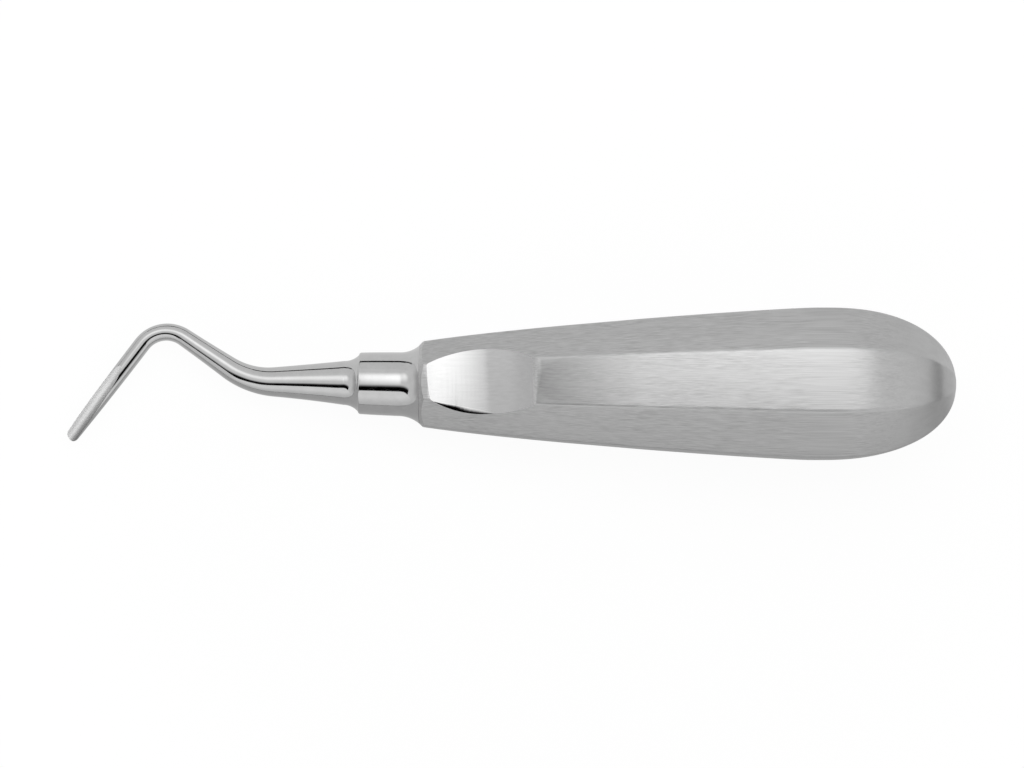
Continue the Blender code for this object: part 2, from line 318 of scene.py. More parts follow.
# %% Satin stainless steel
def satin_colour(tree, hairlines, patch):
    """Hairlines, broader streaks and bright scratches, one over the other, times the painted shade on the
    front flat.
    """
    streaks = grain(tree, length=30 * MM, spacing=1.0 * MM, seed=0.31)
    scratches = grain(tree, length=6 * MM, spacing=0.13 * MM, detail=1.0, seed=0.57)
    fine = add_node(tree, "ShaderNodeMapRange", [hairlines, *most_values, 0, 1])
    colour = add_node(
        tree, "ShaderNodeMix", {0: fine, 6: linear("#AEAEAE"), 7: linear("#D2D2D2")}, data_type="RGBA",
    )
    broad = add_node(tree, "ShaderNodeMapRange", [streaks, *middle_values, 0, 0.5])
    colour = add_node(tree, "ShaderNodeMix", {0: broad, 6: colour, 7: linear("#CBCBCB")}, data_type="RGBA")
    bright = add_node(tree, "ShaderNodeMapRange", [scratches, *rare_values, 0, 0.45])
    colour = add_node(tree, "ShaderNodeMix", {0: bright, 6: colour, 7: linear("#E0E0E0")}, data_type="RGBA")
    # patch is the painted shade on the front flat, multiplied into the colour.
    return add_node(
        tree, "ShaderNodeMix", {0: 1.0, 6: colour, 7: patch}, data_type="RGBA", blend_type="MULTIPLY",
    )


def satin_sockets(tree):
    """Colour, roughness, height and direction of the brushing."""
    x, y, z = along_the_handle(tree)
    on_butt = add_node(tree, "ShaderNodeMapRange", [x, butt_from, butt_to, 0, 0.85])
    hairlines = grain(tree, length=14 * MM, spacing=0.18 * MM, detail=4.0)
    hairlines = add_node(tree, "ShaderNodeMix", {0: on_butt, 2: hairlines, 3: 0.5})
    return {
        "Base Color": satin_colour(tree, hairlines, painted_shade_on_flat(tree, x, z)),
        "Roughness": add_node(tree, "ShaderNodeMapRange", [hairlines, *most_values, 0.33, 0.39]),
        "Normal": add_node(
            tree, "ShaderNodeBump", {"Height": hairlines, "Strength": 1.0, "Distance": 0.004 * MM},
        ),
        "Anisotropic": 0.8,
        "Tangent": add_node(tree, "ShaderNodeTangent", direction_type="RADIAL", axis="X"),
    }


satin = steel("brushed_stainless_steel", satin_sockets)

# %% [markdown]
# ## Finish 2: the thumb rest, ground and half polished
# The hollow is ground with a wheel and then buffed. Its steel is as grey as the satin round it, but it is
# far smoother, so it shows the lamp as a window with a soft edge, where the satin shows only a sheen. A
# lighter colour could imitate the bright window, but it would stay bright where the lamp isn't reflected.
# So the colour stays, the roughness drops to a third, and faint grinding lines 0.35 mm apart are left.

# %% Half polished stainless steel
def half_polished_sockets(tree):
    """Colour, roughness and height of the ground hollow."""
    lines = grain(tree, length=9 * MM, spacing=0.35 * MM, seed=0.13)
    tone = add_node(tree, "ShaderNodeMapRange", [lines, *most_values, 0, 1])
    return {
        "Base Color": add_node(
            tree, "ShaderNodeMix", {0: tone, 6: linear("#B8B8B8"), 7: linear("#BDBDBD")}, data_type="RGBA",
        ),
        "Roughness": add_node(tree, "ShaderNodeMapRange", [lines, *most_values, 0.11, 0.14]),
        "Normal": add_node(
            tree, "ShaderNodeBump", {"Height": lines, "Strength": 1.0, "Distance": 0.0015 * MM},
        ),
    }


half_polished = steel("buffed_stainless_steel", half_polished_sockets)

# %% [markdown]
# ## Finish 3: the working end, polished to a mirror
# A buffing wheel leaves no lines, only a slight waviness over a few millimetres that bends the reflections,
# and the faintest haze. A perfectly smooth shader would look like chrome in a catalogue drawing. So one
# noise of 4 mm bends the surface by a hundredth of a millimetre, and one of 1.5 mm varies the haze.

# %% Mirror polished stainless steel
def mirror_sockets(tree):
    """Colour, haze and waviness of the polish."""
    wave_length, haze_spot = 4 * MM, 1.5 * MM
    place = add_node(tree, "ShaderNodeTexCoord").outputs["Object"]
    waves = add_node(
        tree, "ShaderNodeTexNoise",
        {"Vector": place, "Scale": 1 / wave_length, "Detail": 1.0, "Roughness": 0.4},
    )
    haze = add_node(
        tree, "ShaderNodeTexNoise",
        {"Vector": place, "Scale": 1 / haze_spot, "Detail": 3.0, "Roughness": 0.6},
    )
    tone = add_node(tree, "ShaderNodeMapRange", [haze, *middle_values, 0, 1])
    return {
        "Base Color": add_node(
            tree, "ShaderNodeMix", {0: tone, 6: linear("#C6C6C6"), 7: linear("#CBCBCB")}, data_type="RGBA",
        ),
        "Roughness": add_node(tree, "ShaderNodeMapRange", [haze, *middle_values, 0.05, 0.09]),
        "Normal": add_node(
            tree, "ShaderNodeBump", {"Height": waves, "Strength": 1.0, "Distance": 0.012 * MM},
        ),
    }


mirror = steel("mirror_polished_stainless_steel", mirror_sockets)

# %% [markdown]
# ## Piece 1: the handle
# The real handle is pressed from two shells, welded and ground to eight flats that swell from the rim to the
# belly and meet in one point at the butt. It could be a scaled cylinder, but then the flats would lie wrong.
# Here the corners of an octagon are bevelled first, so that the eight long edges stay round along the whole
# handle, and the octagon is then extruded through the half widths of the CAD model. It ends in one point.
# Hand grinding leaves no flat quite flat, so each side of the octagon is given a slight crown as well.

# %% The octagon and its rounded corners
belly_length = 1.7 * MM
butt_length = 23.58 * MM
butt_fullness = 2.3
widest_station = front_length + belly_length
corner_round = 0.25 * MM
corner_steps = 4
flat_cuts = 7
flat_crown = 0.1  # the share of the way from an octagon to a circle
last_ring_angle = math.radians(89)
margin = 2 * MM  # how far a cutting form reaches past what it cuts


def octagon_profile(start, inset, front_steps, back_steps, butt_steps):
    """Stations and half widths from start to the butt, this far inside the surface."""
    front = spread(max(start, 0), flat_start, front_steps) + spread(flat_end, front_length, back_steps)
    profile = [(start, half_width(start) - inset)]
    profile += [(x, half_width(x) - inset) for x in front if x > start]
    for angle in spread(0, last_ring_angle, butt_steps):
        reach = (butt_length - inset) * math.sin(angle) ** (2 / butt_fullness)
        profile.append((widest_station + reach, (belly_half_width - inset) * math.cos(angle)))
    return profile


def crown_flats(made, centre):
    """Splits the long sides of the ring in edit mode and gives each of them a slight outward curve."""
    bpy.ops.mesh.select_all(action="DESELECT")
    form = bmesh.from_edit_mesh(made.data)
    for edge in form.edges:
        edge.select_set(edge.calc_length() > corner_round * 4)
    bmesh.update_edit_mesh(made.data)
    bpy.ops.mesh.subdivide(number_cuts=flat_cuts)
    bpy.ops.mesh.select_all(action="SELECT")
    flat_before = min((vert.co - centre).length for vert in form.verts)
    bpy.ops.transform.tosphere(value=flat_crown)
    form = bmesh.from_edit_mesh(made.data)
    ratio = flat_before / min((vert.co - centre).length for vert in form.verts)
    bpy.ops.transform.resize(value=(ratio, ratio, ratio), center_override=centre)


def octagon(name, profile, rounding):
    """An octagonal form with flats to the front and back, and with rounded long edges if rounding is set."""
    corner = 1 / math.cos(math.pi / 8)
    stations = straight_stations([(x, width * corner) for x, width in profile])
    made = first_ring(name, sides=8, radius=stations[0][2], place=stations[0][0])
    bpy.ops.transform.rotate(value=math.pi / 8, orient_axis="X", center_override=stations[0][0])
    if rounding:
        bpy.ops.mesh.bevel(offset=rounding, segments=corner_steps, profile=0.5, affect="VERTICES")
        crown_flats(made, stations[0][0])
    grow(stations)
    bpy.ops.mesh.merge(type="CENTER")
    finish_ring_by_ring()
    print(f"{name}: {len(made.data.polygons)} faces, pole at {profile[-1][0] / MM:.2f} mm")
    return made


handle_profile = octagon_profile(-margin, inset=0, front_steps=30, back_steps=44, butt_steps=44)
handle = octagon("elevator_handle", handle_profile, rounding=corner_round)
handle.data.materials.append(satin)

# %% [markdown]
# ## The turned nose
# Where the handle meets the neck, its nose is turned on a lathe to the round of the neck's flare. The round
# cuts the eight corners, which gives the rim its eight scallops. A lathe takes away what stands outside a
# round form, so the same is done here: only what is inside a round envelope is kept.

# %% Turn the nose
seat_setback = 0.75 * MM
collar_start = 4.35 * MM
collar_radius = 5.6 * MM
collar_swell = 0.15 * MM
flare_radius = 5.5 * MM
flare_reach_behind_rim = 0.6 * MM
step_outwards = 0.01 * MM


def flare(distance):
    """The neck's radius on the flare, at a distance in front of the rim (negative behind it)."""
    reach = collar_start - distance
    return collar_radius + collar_swell + flare_radius - math.sqrt(flare_radius**2 - reach**2)


outside = 2 * belly_half_width
profile = [(x, flare(-x)) for x in spread(-seat_setback, flare_reach_behind_rim, 16)]
profile += [(flare_reach_behind_rim + step_outwards, outside)]
profile += [(widest_station + butt_length + margin, outside)]
envelope = first_ring("envelope", sides=160, radius=profile[0][1], place=(profile[0][0], 0, 0))
grow(straight_stations(profile))
finish_ring_by_ring()
envelope.data.materials.append(satin)
combine(handle, envelope, "INTERSECT")

# %% [markdown]
# ## The thumb rest
# The hollow is ground across the front flat with a wheel of 53 mm, and its back edge is rolled over into the
# flat. The wheel could be a cylinder, but the roll needs a second radius that joins the first. So a straight
# edge is spun about the wheel's centre, then about the centre of the roll, and the strip is extruded upwards.
# A form that lies a wall's thickness deeper keeps the inside of the handle clear of the hollow.

# %% Where the arcs of the thumb rest lie
thumb_rest_start = 0.95 * MM
thumb_rest_length = 20.2 * MM
thumb_rest_radius = 26.5 * MM
thumb_rest_roll = 5.6 * MM
thumb_rest_meeting = math.radians(4)
thumb_rest_yaw = math.radians(2.5)
thumb_rest_lean = math.radians(1.7)


def thumb_rest_arcs():
    """Centre of the hollow, centre of the roll, and the angles at which the arcs start, join and end."""
    end = thumb_rest_start + thumb_rest_length
    flat_slope = (half_width(end + MM) - half_width(end - MM)) / (2 * MM)
    leaving = math.atan(flat_slope) + thumb_rest_meeting
    front = Vector((thumb_rest_start, half_width(thumb_rest_start)))
    back = Vector((end, half_width(end)))
    roll_centre = back - thumb_rest_roll * Vector((-math.sin(leaving), math.cos(leaving)))
    span = roll_centre - front
    reach = thumb_rest_radius + thumb_rest_roll
    along = (thumb_rest_radius**2 - reach**2 + span.length_squared) / (2 * span.length)
    across = math.sqrt(thumb_rest_radius**2 - along**2)
    ahead = span.normalized()
    centre = front + ahead * along + Vector((-ahead.y, ahead.x)) * across
    joining = math.atan2(roll_centre.x - centre.x, centre.y - roll_centre.y)
    entering = math.asin((front.x - centre.x) / thumb_rest_radius) - margin / thumb_rest_radius
    return centre, roll_centre, entering, joining, leaving


print("Centres of hollow and roll in mm:", *(in_mm(centre) for centre in thumb_rest_arcs()[:2]))

# %% Spin the wheel's path and cut it
def thumb_rest_wheel(name, wall, finishes):
    """The form that the wheel takes away, or one that lies a wall's thickness deeper.

    The first finish goes to the hollow and the last to the roll.
    """
    centre, roll_centre, entering, joining, leaving = thumb_rest_arcs()
    radius = thumb_rest_radius + wall
    width = 4 * belly_half_width
    hollow_steps, roll_steps = 90, 30
    bpy.ops.object.select_all(action="DESELECT")
    bpy.ops.mesh.primitive_plane_add(size=width)
    made = bpy.context.object
    made.name = name
    bpy.ops.object.mode_set(mode="EDIT")
    bpy.ops.mesh.select_all(action="SELECT")
    bpy.ops.transform.resize(value=(0, 1, 1), center_override=(0, 0, 0))
    bpy.ops.mesh.remove_doubles(threshold=0.01 * MM)
    start = Vector((centre.x + radius * math.sin(entering), 0, centre.y - radius * math.cos(entering)))
    bpy.ops.mesh.select_all(action="SELECT")
    bpy.ops.transform.translate(value=start)
    arcs = ((centre, joining - entering, hollow_steps), (roll_centre, leaving - joining, roll_steps))
    for (x, z), sweep, count in arcs:
        bpy.ops.mesh.spin(steps=count, angle=sweep, center=(x, 0, z), axis=(0, 1, 0))
    ahead = Vector((math.cos(leaving), 0, math.sin(leaving)))
    bpy.ops.mesh.extrude_edges_move(TRANSFORM_OT_translate={"value": margin * ahead})
    bpy.ops.mesh.select_all(action="SELECT")
    bpy.ops.mesh.remove_doubles(threshold=0.001 * MM)
    bpy.ops.mesh.extrude_region_move(TRANSFORM_OT_translate={"value": (0, 0, width)})
    finish_ring_by_ring()
    for finish in finishes:
        made.data.materials.append(finish)
    joined_at = centre.x + radius * math.sin(joining)
    for face in made.data.polygons:
        face.material_index = 1 if len(finishes) > 1 and face.center.x > joined_at else 0
    middle = Matrix.Translation((thumb_rest_start + thumb_rest_length / 2, 0, 0))
    turn = Matrix.Rotation(thumb_rest_yaw, 4, "Z") @ Matrix.Rotation(-thumb_rest_lean, 4, "X")
    put(made, middle @ turn @ middle.inverted())
    print(f"{name}: {len(made.data.polygons)} faces")
    return made


wheel = thumb_rest_wheel("wheel", wall=0, finishes=[half_polished, satin])
combine(handle, wheel, "DIFFERENCE")

# %% [markdown]
# ## The second pass of the wheel
# The buffing wheel is held by hand, and it breaks the hollow's lower left edge. In the picture that gives a
# thin dark crescent, which mirrors the slot beside the lamp. A bevel would run along the whole edge with one
# width. So the same form is rolled by a few degrees about a point near that edge, and taken away once more.

# %% Break the lower left edge of the hollow
pivot_station = 6.5 * MM
pivot_aside = -4.15 * MM
pivot_depth = 1.85 * MM
pass_yaw = math.radians(-12)
pass_roll = math.radians(14)
pivot = Matrix.Translation((pivot_station, pivot_aside, half_width(pivot_station) - pivot_depth))
roll_over = Matrix.Rotation(pass_yaw, 4, "Z") @ Matrix.Rotation(pass_roll, 4, "X")
second_pass = thumb_rest_wheel("second_pass", wall=0, finishes=[mirror])
put(second_pass, pivot @ roll_over @ pivot.inverted())
combine(handle, second_pass, "DIFFERENCE")

# %% [markdown]
# ## The hollow inside
# A solid handle of this size would weigh about 270 g, and the real one is a shell of 1.2 mm with a plug of
# solid metal behind the rim that is bored for the tang. Nobody sees the hollow, but this piece takes the
# CAD solid's form, so the cavity and the bore are cut as well.

# %% Cut the cavity and the bore
handle_wall = 1.2 * MM
plug_length = 8.0 * MM
tang_radius = 3.25 * MM
fit_gap = 0.3 * MM

cavity_profile = octagon_profile(plug_length, inset=handle_wall, front_steps=10, back_steps=14, butt_steps=20)
cavity = octagon("cavity", cavity_profile, rounding=0)
deeper_wheel = thumb_rest_wheel("deeper_wheel", wall=handle_wall, finishes=[satin])
combine(cavity, deeper_wheel, "DIFFERENCE")
combine(handle, cavity, "DIFFERENCE")

bore_radius = tang_radius + fit_gap
bore_start = -seat_setback - margin
bore = first_ring("bore", sides=64, radius=bore_radius, place=(bore_start, 0, 0))
grow(straight_stations([(bore_start, bore_radius), (plug_length + margin, bore_radius)]))
finish_ring_by_ring()
combine(handle, bore, "DIFFERENCE")

# %% [markdown]
# ## Piece 2: the working end
# It is one forging: a tang in the handle, a turned flare and collar, and a shank that is drawn thinner as it
# bends to the side and back, and ends in a gouge. A tube on a curve would do, but the collar needs sharp
# steps in its radius. So a ring starts at the end of the tang and grows along the shank's route. The collar
# is slightly crowned, as a turned and polished one is, and the seam to the handle is a hair wide.

# %% The route of the shank
collar_length = 7.35 * MM
collar_corner = 0.4 * MM
collar_crown = 0.06 * MM
collar_end = collar_start + collar_length
fillet_radius = 3.6 * MM
shank_root_radius = 3.96 * MM
neck_angle = math.radians(1.3)
sweep_length = 12.45 * MM
sweep_angle = math.radians(0.35)
offset_angle = math.radians(34.1)
offset_bend_radius = 14.95 * MM
offset_length = 9.75 * MM
blade_angle = math.radians(-52.9)
blade_bend_radius = 5.6 * MM
blade_length = 21.6 * MM

neck_drop = collar_radius - collar_crown - collar_corner - shank_root_radius
neck_length = collar_end + math.sqrt(fillet_radius**2 - (fillet_radius - neck_drop) ** 2)
route_pieces = [
    (collar_start, neck_angle),
    (neck_length - collar_start, 0.0),
    (sweep_length, sweep_angle - neck_angle),
    (offset_bend_radius * (offset_angle - sweep_angle), offset_angle - sweep_angle),
    (offset_length, 0.0),
    (blade_bend_radius * (offset_angle - blade_angle), blade_angle - offset_angle),
    (blade_length, 0.0),
]
route_length = sum(length for length, turn in route_pieces)


def route_point(distance):
    """The point on the route at a distance in front of the rim, and its heading from -X to +Y."""
    point = Vector((0, 0, 0))
    heading = 0.0
    left = distance
    for length, turn in route_pieces:
        part = min(left, length)
        bend = turn * part / length
        chord = part if bend == 0 else 2 * part / bend * math.sin(bend / 2)
        middle = heading + bend / 2
        point += Vector((-math.cos(middle), math.sin(middle), 0)) * chord
        heading += bend
        left -= part
        if left <= 0:
            break
    return point, heading


print("Length of the route and its tip in mm:", in_mm([route_length]), in_mm(route_point(route_length)[0]))

# %% The radius along the route
blade_root_radius = 1.51 * MM
tip_radius = 1.2 * MM
blade_root = route_length - blade_length
nose_centre = route_length - tip_radius


def route_radius(distance):
    """The radius of neck, shank and blade at a distance in front of the rim."""
    if distance <= collar_start:
        return flare(distance)
    if distance <= collar_end - collar_corner:
        share = (collar_end - collar_corner - distance) / (collar_length - collar_corner)
        return collar_radius + collar_swell * share - collar_crown * (1 - share) ** 4
    if distance <= collar_end:
        rise = distance - (collar_end - collar_corner)
        return collar_radius - collar_crown - collar_corner + math.sqrt(max(collar_corner**2 - rise**2, 0))
    if distance <= neck_length:
        reach = neck_length - distance
        return shank_root_radius + fillet_radius - math.sqrt(fillet_radius**2 - reach**2)
    if distance <= blade_root:
        share = (blade_root - distance) / (blade_root - neck_length)
        return blade_root_radius + (shank_root_radius - blade_root_radius) * share**2
    share = min((distance - blade_root) / (nose_centre - blade_root), 1)
    taper = tip_radius + (blade_root_radius - tip_radius) * (1 - share**2)
    past_nose = max(distance - nose_centre, 0)
    return taper if past_nose == 0 else math.sqrt(max(tip_radius**2 - past_nose**2, 0))


print("Radius in mm at collar, neck, blade and nose:",
      in_mm(route_radius(place) for place in (collar_start, neck_length, blade_root, nose_centre)))

# %% Grow the working end
tang_overhang = 4.0 * MM
seam = 0.02 * MM
shoulder = -seat_setback - seam
distances = spread(-shoulder, collar_start, 20)
distances += spread(collar_start, collar_end - collar_corner, 16)[1:-1]
distances += [collar_end - collar_corner * (1 - math.sin(angle)) for angle in spread(0, math.pi / 2, 8)]
distances += spread(collar_end, neck_length, 16)[1:]
start = neck_length
for (length, turn), steps in zip(route_pieces[2:], (16, 30, 8, 44, 30)):
    end = min(start + length, nose_centre)
    distances += spread(start, end, steps)[1:]
    start = end
distances += [nose_centre + tip_radius * math.sin(angle) for angle in spread(0, math.radians(87), 14)[1:]]
stations = [(*route_point(distance), route_radius(distance)) for distance in distances]

tang = [(plug_length + tang_overhang, tang_radius), (shoulder, tang_radius)]
working_end = first_ring("elevator_working_end", sides=112, radius=tang_radius, place=(tang[0][0], 0, 0))
grow(straight_stations(tang))
grow([(Vector((shoulder, 0, 0)), 0.0, tang_radius)] + stations)
bpy.ops.mesh.merge(type="CENTER")
finish_ring_by_ring()
working_end.data.materials.append(mirror)
print("Working end:", len(working_end.data.polygons), "faces")

# %% [markdown]
# ## Finish 4: the flute, finely ground, with painted light
# A buffing wheel doesn't reach into the flute of the gouge, so it keeps the finish of a fine grinding point:
# no window in it, but a soft light that falls off from one rim to the other. One grey with one roughness
# would mirror the black slot along the left rim, which the real flute doesn't. So the roughness changes
# across the blade, rougher at the left rim and smoother at the right, and the fall of light is painted into
# the colour: a painted highlight at the left rim and painted shade at the right.

# %% Finely ground stainless steel, with painted highlight and shade
tip, blade_heading = route_point(route_length)
up_blade = Vector((math.cos(blade_heading), -math.sin(blade_heading), 0))
to_right = Vector((-math.sin(blade_heading), -math.cos(blade_heading), 0))
blade_left, blade_right = -0.3 * MM, 0.9 * MM


def ground_flute_with_painted_light_sockets(tree):
    """Painted highlight and shade in the colour, and the roughness, across the blade, from its middle line to
    the right.
    """
    place = add_node(tree, "ShaderNodeTexCoord").outputs["Object"]
    from_tip = add_node(tree, "ShaderNodeVectorMath", [place, place_on_table @ tip], operation="SUBTRACT")
    right_on_table = (place_on_table.to_3x3() @ to_right).normalized()
    across = add_node(tree, "ShaderNodeVectorMath", [from_tip, right_on_table], operation="DOT_PRODUCT")
    # The tone is painted light: a painted highlight at the left rim that falls to painted shade at the right.
    tone = add_node(tree, "ShaderNodeMapRange", [across, blade_left, blade_right, 0, 1])
    return {
        "Base Color": add_node(
            tree, "ShaderNodeMix", {0: tone, 6: linear("#F4F4F4"), 7: linear("#8E8E8E")}, data_type="RGBA",
        ),
        "Roughness": add_node(tree, "ShaderNodeMapRange", [across, blade_left, blade_right, 0.48, 0.30]),
    }


ground_flute_with_painted_light = steel("ground_stainless_steel_painted_light", ground_flute_with_painted_light_sockets)

# %% [markdown]
# ## The gouge
# The flute is milled into the blade with a round cutter that is tilted by 5.4 degrees, turned by 20.5 degrees
# to one side, and lifted out in a long arc. The cutter's path is a tube of its own, which is then taken away.

# %% The cutter's path
flute_radius = 1.8 * MM
flute_height_at_tip = 1.25 * MM
flute_tilt = math.radians(5.4)
flute_turn = math.radians(20.5)
flute_straight = 11.2 * MM
flute_run_out_radius = 23.0 * MM
facing = Vector((0, 0, 1)) * math.cos(flute_turn) - to_right * math.sin(flute_turn)


def flute_path():
    """Places and tilts along the cutter's path, from beyond the tip to clear of the blade."""
    needed = flute_radius + blade_root_radius + fit_gap
    needed -= flute_height_at_tip + flute_straight * math.tan(flute_tilt)
    end_tilt = math.acos(math.cos(flute_tilt) - needed / flute_run_out_radius)
    path = [(-margin, flute_height_at_tip - margin * math.tan(flute_tilt), flute_tilt)]
    path.append((flute_straight, flute_height_at_tip + flute_straight * math.tan(flute_tilt), flute_tilt))
    for angle in spread(flute_tilt, end_tilt, 30)[1:]:
        leg = flute_straight + flute_run_out_radius * (math.sin(angle) - math.sin(flute_tilt))
        height = path[1][1] + flute_run_out_radius * (math.cos(flute_tilt) - math.cos(angle))
        path.append((leg, height, angle))
    return [(tip + up_blade * leg + facing * height, angle) for leg, height, angle in path]


print(f"The cutter leaves the blade at {math.degrees(flute_path()[-1][1]):.1f} degrees")

# %% Mill the flute
def flute_mill():
    """The cutter's path as a tube. It bends in its own tilted plane, so its rings are turned there."""
    path = flute_path()
    mill = first_ring("mill", sides=128, radius=flute_radius, place=(0, 0, 0))
    first_direction = up_blade * math.cos(path[0][1]) + facing * math.sin(path[0][1])
    turn = Vector((1, 0, 0)).rotation_difference(first_direction).to_matrix().to_4x4()
    bpy.ops.object.mode_set(mode="OBJECT")
    put(mill, Matrix.Translation(path[0][0]) @ turn)
    bpy.ops.object.mode_set(mode="EDIT")
    bpy.ops.mesh.select_all(action="SELECT")
    plane = Matrix((up_blade, facing, up_blade.cross(facing))).transposed()
    for (place, angle), (next_place, next_angle) in zip(path, path[1:]):
        bpy.ops.mesh.extrude_region_move(TRANSFORM_OT_translate={"value": next_place - place})
        bpy.ops.transform.rotate(
            value=angle - next_angle, orient_axis="Z", orient_matrix=plane, orient_type="GLOBAL",
            orient_matrix_type="GLOBAL", center_override=next_place,
        )
    finish_ring_by_ring()
    return mill


mill = flute_mill()
mill.data.materials.append(ground_flute_with_painted_light)
combine(working_end, mill, "DIFFERENCE")

# %% [markdown]
# ## Smooth shading
# Curved metal must reflect without facets, and the flats must stay flat up to their rounded edges. Smooth
# shading alone bends the flats near their edges. The Weighted Normal modifier lets large faces decide.

# %% Shade, tip onto the rest flat, and hand over
sharp_angle = math.radians(24)
large_face_weight = 60


def finish_piece(piece, node):
    """Smooths the piece, puts it in its place on the table, and hands it to the CAD body."""
    select_only(piece)
    bpy.ops.object.shade_smooth_by_angle(angle=sharp_angle)
    weighted = piece.modifiers.new("Weighted", "WEIGHTED_NORMAL")
    weighted.mode = "FACE_AREA"
    weighted.weight = large_face_weight
    weighted.keep_sharp = True
    bpy.ops.object.modifier_apply(modifier=weighted.name)
    put(piece, place_on_table)
    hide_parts(node)
    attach(piece, "root")
    print(f"{piece.name} in mm: {in_mm(piece.bound_box[0])} to {in_mm(piece.bound_box[6])}")


finish_piece(handle, "handle")
finish_piece(working_end, "working_end")

# %% [markdown]
# ## The studio
# Polished metal shows only what stands round it, so the light is a small tent: a white ceiling with a round
# softbox in it, a black slot beside it through which the camera looks, and white walls that end a little
# above the table. Without the slot and the gaps under the walls, a mirror finish turns into an even grey.

# %% The sheets of the tent
def sheet(name, centre, size, rotation):
    """A glowing sheet that the camera doesn't see but the steel does. Returns its tree and its emission.

    Its size is its object's scale, so its own coordinates run from -0.5 to 0.5 both ways.
    """
    bpy.ops.object.select_all(action="DESELECT")
    bpy.ops.mesh.primitive_plane_add(size=1, location=centre, rotation=rotation)
    made = bpy.context.object
    made.name = name
    made.scale = (size[0], size[1], 1)
    made.visible_camera = False
    material = bpy.data.materials.new(name)
    material.use_nodes = True
    tree = material.node_tree
    tree.nodes.clear()
    glow = add_node(tree, "ShaderNodeEmission")
    add_node(tree, "ShaderNodeOutputMaterial", {"Surface": glow})
    made.data.materials.append(material)
    made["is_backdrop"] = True
    print(f"{name}: {in_mm(size)} mm")
    return tree, glow


# %% [markdown]
# ## The ceiling
# All light of the ceiling is painted on one sheet, in metres from its middle. The softbox is brightest in
# its middle. Its left edge slants and is crisp on the side that the thumb rest mirrors, where it shows as a
# line across the hollow, and soft on the side that the collar mirrors. A second, weaker lamp stands to its
# left. The black slot is an arc of a wide circle, wider on its right, and the cloth on its near side is a
# little brighter. A picture of a studio could light the steel too, but a few soft steps are easier to fit.

# %% The two lamps in the ceiling
ceiling_size = (0.56, 0.50)
tree, ceiling_glow = sheet("ceiling", (0, 0.03, 226 * MM), ceiling_size, (0, 0, 0))
place = add_node(tree, "ShaderNodeTexCoord").outputs["Object"]
spot = add_node(tree, "ShaderNodeVectorMath", [place, (*ceiling_size, 1)], operation="MULTIPLY")
x, y, z = add_node(tree, "ShaderNodeSeparateXYZ", [spot]).outputs
soft_step = {"interpolation_type": "SMOOTHSTEP"}


def distance_from(centre, half_axes):
    """How far a spot on the ceiling is from a centre, counted in half axes of an ellipse."""
    away = add_node(tree, "ShaderNodeVectorMath", [spot, (*centre, 0)], operation="SUBTRACT")
    scaled = (1 / half_axes[0], 1 / half_axes[1], 0)
    shares = add_node(tree, "ShaderNodeVectorMath", [away, scaled], operation="MULTIPLY")
    return add_node(tree, "ShaderNodeVectorMath", [shares], operation="LENGTH")


cloth = 0.82
window_rest = 0.15  # the share of the softbox that is left beyond its left edge
softbox_peak, second_lamp_peak = 2.35, 0.58
edge_slant = -0.12
from_softbox = distance_from((0.016, 0.040), (0.19, 0.135))
softbox = add_node(tree, "ShaderNodeMapRange", [from_softbox, 0, 1, softbox_peak - cloth, 0], **soft_step)
slant = add_node(tree, "ShaderNodeMath", [y, edge_slant], operation="MULTIPLY")
slanted = add_node(tree, "ShaderNodeMath", [x, slant], operation="ADD")
crisp_edge = add_node(tree, "ShaderNodeMapRange", [slanted, -0.107, -0.097, window_rest, 1], **soft_step)
soft_edge = add_node(tree, "ShaderNodeMapRange", [slanted, -0.150, -0.080, window_rest, 1], **soft_step)
softer = add_node(tree, "ShaderNodeMapRange", [y, -0.005, 0.020, 0, 1], **soft_step)
left_edge = add_node(tree, "ShaderNodeMix", {0: softer, 2: crisp_edge, 3: soft_edge})
right_edge = add_node(tree, "ShaderNodeMapRange", [x, 0.104, 0.122, 1, 0], **soft_step)
edges = add_node(tree, "ShaderNodeMath", [left_edge, right_edge], operation="MULTIPLY")
window = add_node(tree, "ShaderNodeMath", [softbox, edges], operation="MULTIPLY")
from_second_lamp = distance_from((-0.160, 0.075), (0.12, 0.110))
second_lamp = add_node(tree, "ShaderNodeMapRange", [from_second_lamp, 0, 1, second_lamp_peak, 0], **soft_step)
beside = add_node(tree, "ShaderNodeMath", [second_lamp, cloth], operation="ADD")
lamps = add_node(tree, "ShaderNodeMath", [window, beside], operation="ADD")
print("The lamps reach", softbox_peak, "and", round(second_lamp_peak + cloth, 2), "on cloth of", cloth)

# %% The slot in the ceiling
slot_circle_centre = (-0.070, -0.415)
near_cloth, right_cloth = 0.95, 0.75
slot_widening = 0.030
from_slot = distance_from(slot_circle_centre, (1, 1))
near_side = add_node(tree, "ShaderNodeMapRange", [from_slot, 0.254, 0.266, near_cloth, 0], **soft_step)
wider = add_node(tree, "ShaderNodeMapRange", [x, -0.065, -0.020, 0, slot_widening], **soft_step)
past_slot = add_node(tree, "ShaderNodeMath", [from_slot, wider], operation="SUBTRACT")
far_side = add_node(tree, "ShaderNodeMapRange", [past_slot, 0.321, 0.374, 0, 1], **soft_step)
right_end = add_node(tree, "ShaderNodeMapRange", [x, 0.045, 0.090, 0, right_cloth], **soft_step)
open_cloth = add_node(tree, "ShaderNodeMath", [far_side, right_end], operation="MAXIMUM")
lit = add_node(tree, "ShaderNodeMath", [lamps, open_cloth], operation="MULTIPLY")
level = add_node(tree, "ShaderNodeMath", [lit, near_side], operation="MAXIMUM")
tree.links.new(level.outputs[0], ceiling_glow.inputs["Strength"])
print("The ceiling has", len(tree.nodes), "nodes")

